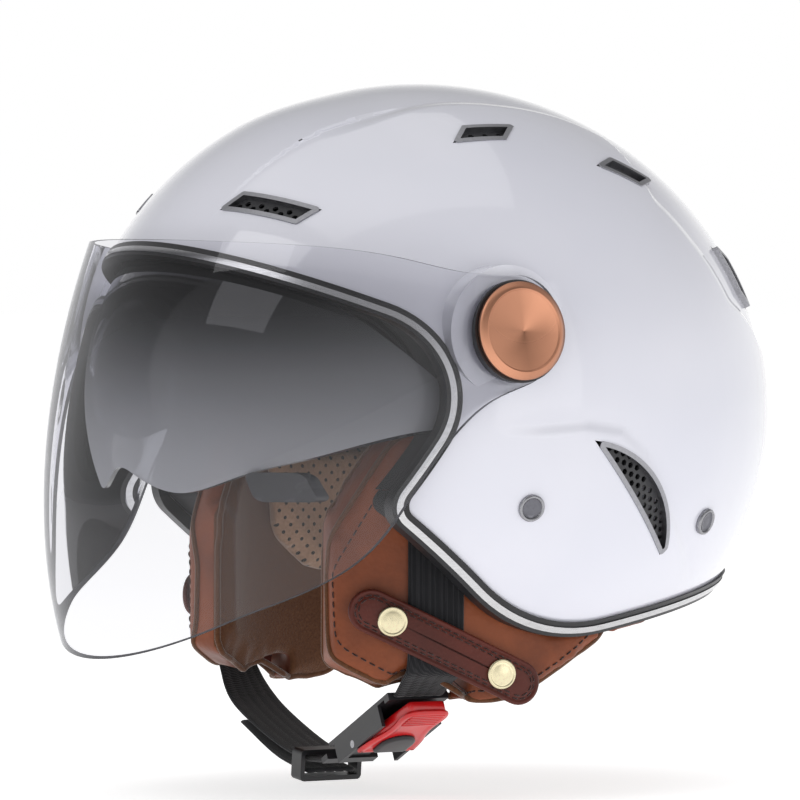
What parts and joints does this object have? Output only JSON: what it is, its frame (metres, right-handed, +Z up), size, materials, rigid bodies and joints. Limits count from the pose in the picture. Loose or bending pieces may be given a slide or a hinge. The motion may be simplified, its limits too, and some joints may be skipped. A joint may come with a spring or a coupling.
{
  "type": "open face motorcycle helmet",
  "caption": "White open face motorcycle helmet with a clear bubble face shield, a drop-down smoked sun visor, copper pivot caps, tan leather cheek pads and a ratchet chin strap.",
  "frame": {"origin": "middle of the face shield pivot axis, inside the head cavity, which is also the head mount", "axes": "+Z up, -Y the way the wearer looks, +X the wearer's left"},
  "size_m": [0.2642, 0.3173, 0.2923],
  "materials": {
    "shell_gloss": "gloss",
    "trim_rubber": "satin",
    "trim_bright": "gloss",
    "liner_foam": "matte",
    "comfort_fabric": "matte",
    "tan_leather": "satin",
    "dark_leather": "satin",
    "snap_metal": "polished",
    "rivet_metal": "satin",
    "webbing": "matte",
    "black_plastic": "satin",
    "red_plastic": "gloss",
    "copper": "brushed",
    "clear_lens": "clear",
    "smoked_lens": "tinted mirror",
    "vent_trim": "satin",
    "vent_mesh": "satin"
  },
  "bodies": {
    "helmet": {"buckle_frame": "black_plastic", "cheek_foam_left": "liner_foam", "cheek_foam_right": "liner_foam", "cheek_inner_left": "comfort_fabric", "cheek_inner_right": "comfort_fabric", "cheek_pad_left": "tan_leather", "cheek_pad_right": "tan_leather", "comfort_liner": "comfort_fabric", "impact_liner": "liner_foam", "lever_pin": "rivet_metal", "lever_spring": "rivet_metal", "neck_roll": "tan_leather", "outer_shell": "shell_gloss", "pivot_base_left": "shell_gloss", "pivot_base_right": "shell_gloss", "pivot_cap_left": "copper", "pivot_cap_right": "copper", "pivot_cap_ring_left": "black_plastic", "pivot_cap_ring_right": "black_plastic", "pivot_screw_left": "rivet_metal", "pivot_screw_right": "rivet_metal", "rim_rubber": "trim_rubber", "rim_strip": "trim_bright", "snap_studs": "snap_metal", "strap_fold": "webbing", "strap_left": "webbing", "strap_right": "webbing", "strap_rivets": "rivet_metal", "strap_slider": "black_plastic", "sun_visor_pins": "rivet_metal", "vent_crown_frame_left": "vent_trim", "vent_crown_frame_right": "vent_trim", "vent_crown_mesh_left": "vent_mesh", "vent_crown_mesh_right": "vent_mesh", "vent_front_frame_left": "vent_trim", "vent_front_frame_right": "vent_trim", "vent_front_mesh_left": "vent_mesh", "vent_front_mesh_right": "vent_mesh", "vent_rear_frame_left": "vent_trim", "vent_rear_frame_right": "vent_trim", "vent_rear_mesh_left": "vent_mesh", "vent_rear_mesh_right": "vent_mesh", "vent_side_frame_left": "vent_trim", "vent_side_frame_right": "vent_trim", "vent_side_mesh_left": "vent_mesh", "vent_side_mesh_right": "vent_mesh", "vent_upper_rear_frame_left": "vent_trim", "vent_upper_rear_frame_right": "vent_trim", "vent_upper_rear_mesh_left": "vent_mesh", "vent_upper_rear_mesh_right": "vent_mesh"},
    "face_shield_body": {"face_shield": "clear_lens"},
    "sun_visor_body": {"sun_visor": "smoked_lens", "sun_visor_grip": "smoked_lens"},
    "release_lever": {"buckle_lever": "red_plastic", "lever_pad": "black_plastic"},
    "tongue_body": {"ratchet_tongue": "black_plastic"},
    "tab_left_body": {"leather_tab_left": "dark_leather", "snap_caps_left": "snap_metal"},
    "tab_right_body": {"leather_tab_right": "dark_leather", "snap_caps_right": "snap_metal"}
  },
  "joints": [
    {"name": "face_shield_hinge", "type": "hinge", "parent": "helmet", "child": "face_shield_body", "pos_m": [0, 0, 0], "axis": [-1, 0, 0], "range_deg": [0, 62]},
    {"name": "sun_visor_hinge", "type": "hinge", "parent": "helmet", "child": "sun_visor_body", "pos_m": [0, -0.014, -0.028], "axis": [-1, 0, 0], "range_deg": [0, 48]},
    {"name": "release_lever_hinge", "type": "hinge", "parent": "helmet", "child": "release_lever", "pos_m": [0.04034, -0.014, -0.16959], "axis": [0, 1, 0], "range_deg": [0, 28], "stiffness_Nm_per_rad": 0.15, "springref_deg": -17.19},
    {"name": "ratchet_slide", "type": "slide", "parent": "helmet", "child": "tongue_body", "axis": [0.8988, 0, 0.4384], "range_m": [0, 0.01]},
    {"name": "tab_left_snap", "type": "slide", "parent": "helmet", "child": "tab_left_body", "axis": [0.95, -0.3122, 0], "range_m": [0, 0.006]},
    {"name": "tab_right_snap", "type": "slide", "parent": "helmet", "child": "tab_right_body", "axis": [-0.95, -0.3122, 0], "range_m": [0, 0.006]}
  ]
}
